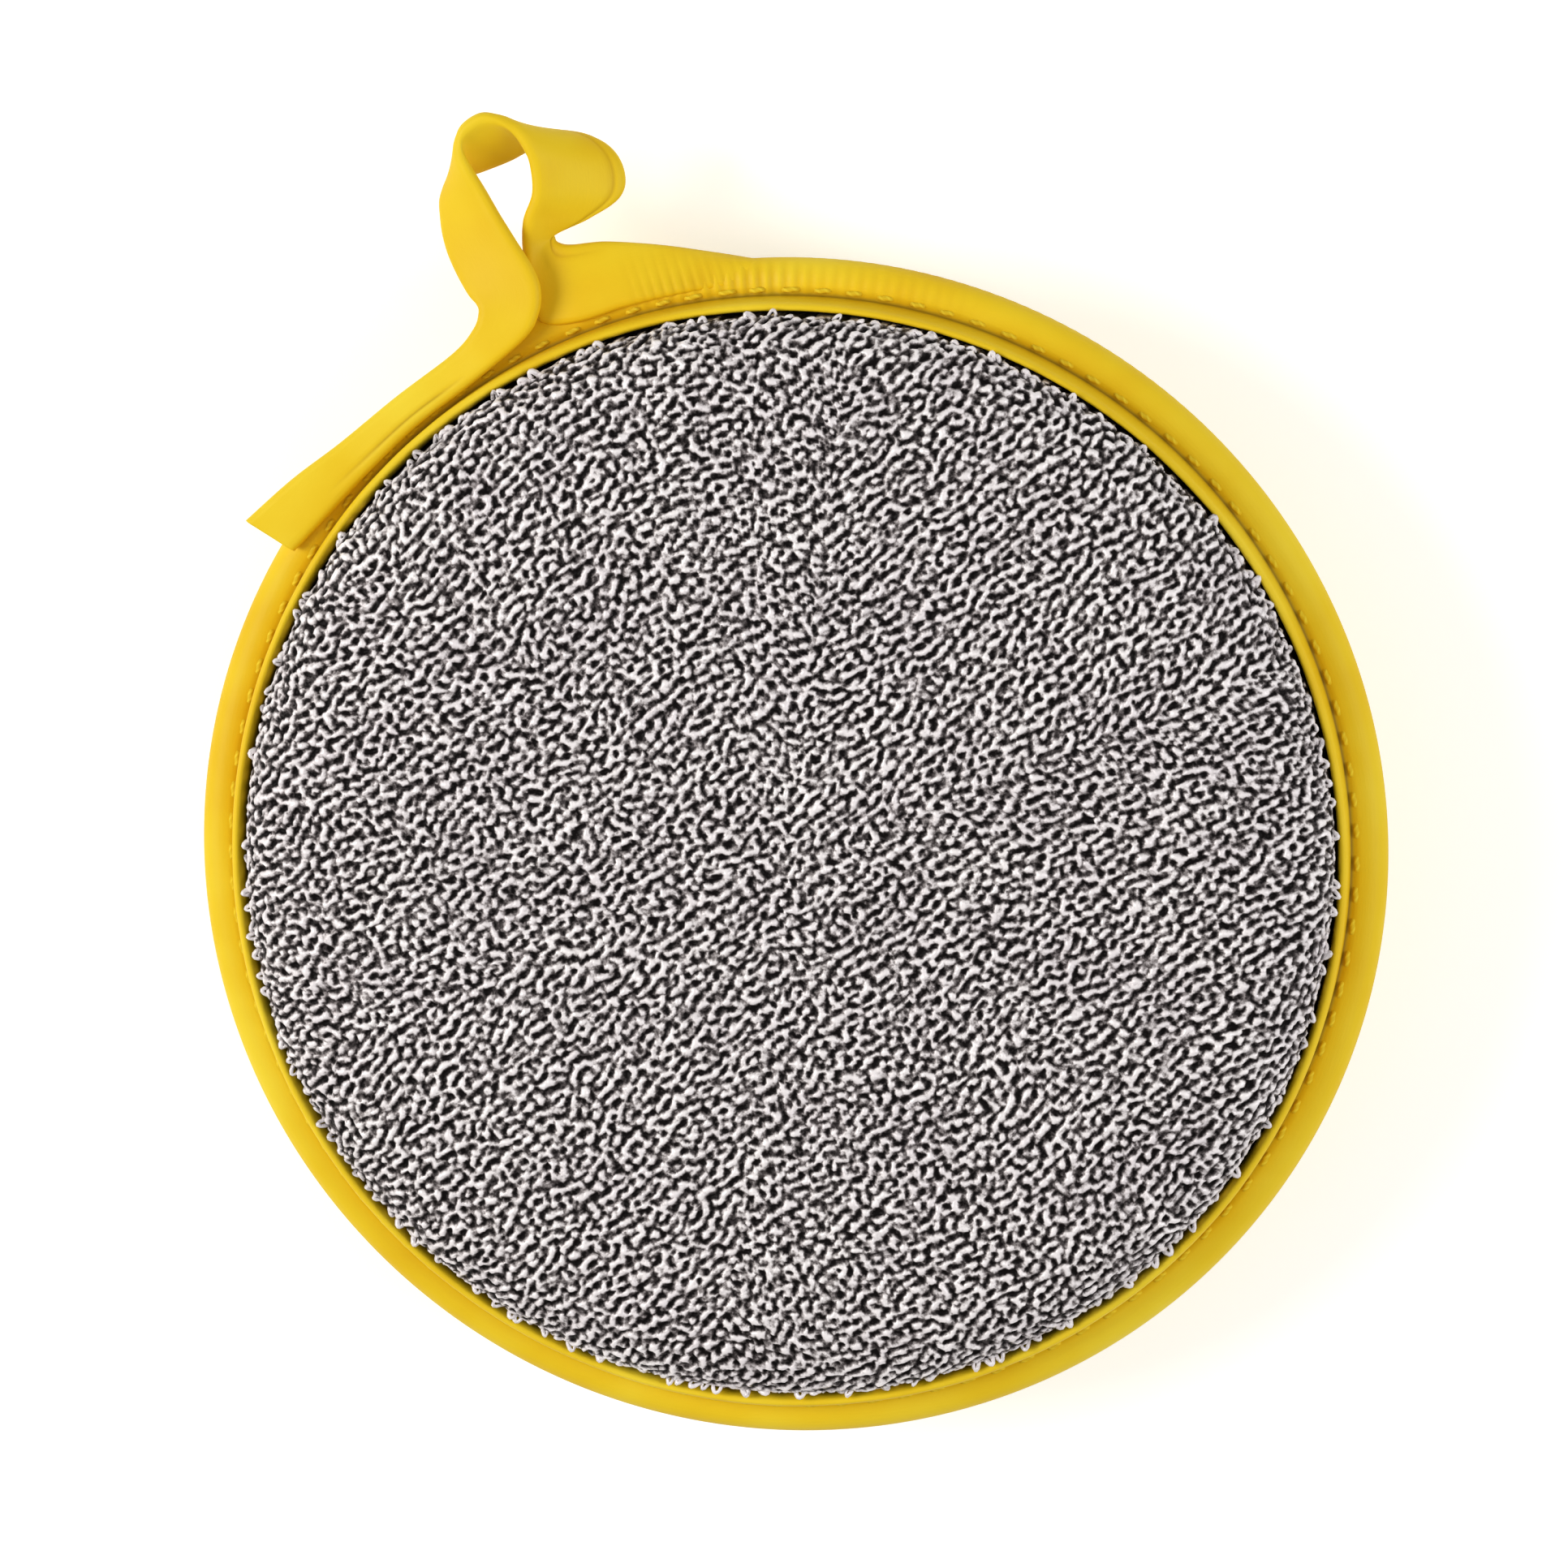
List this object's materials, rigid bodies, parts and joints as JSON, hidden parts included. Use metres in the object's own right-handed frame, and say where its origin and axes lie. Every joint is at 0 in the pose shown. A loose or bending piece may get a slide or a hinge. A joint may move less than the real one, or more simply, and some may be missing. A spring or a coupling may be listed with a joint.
{
  "type": "cleaning sponge",
  "caption": "Round two-sided cleaning sponge: domed scouring side, flat soft side, bound edge with a hanging loop and a free tail.",
  "frame": {"origin": "centre of the flat rest face of the soft side", "axes": "+Z from the rest face to the crown of the scouring face, +Y through the hanging loop, +X to the side on which the tape's tail does not lie"},
  "size_m": [0.12, 0.1409, 0.027],
  "materials": {
    "foam": "matte open-cell polyurethane foam",
    "scouring_knit": "coarse knit of metallised silver yarn",
    "soft_cloth": "brushed microfibre",
    "tape": "woven polyester tape with a soft sheen",
    "thread": "polyester sewing thread"
  },
  "bodies": {
    "root": {"foam_core": "foam", "scouring_cover": "scouring_knit", "soft_cover": "soft_cloth", "edge_tape": "tape", "seam_thread": "thread"}
  },
  "joints": []
}
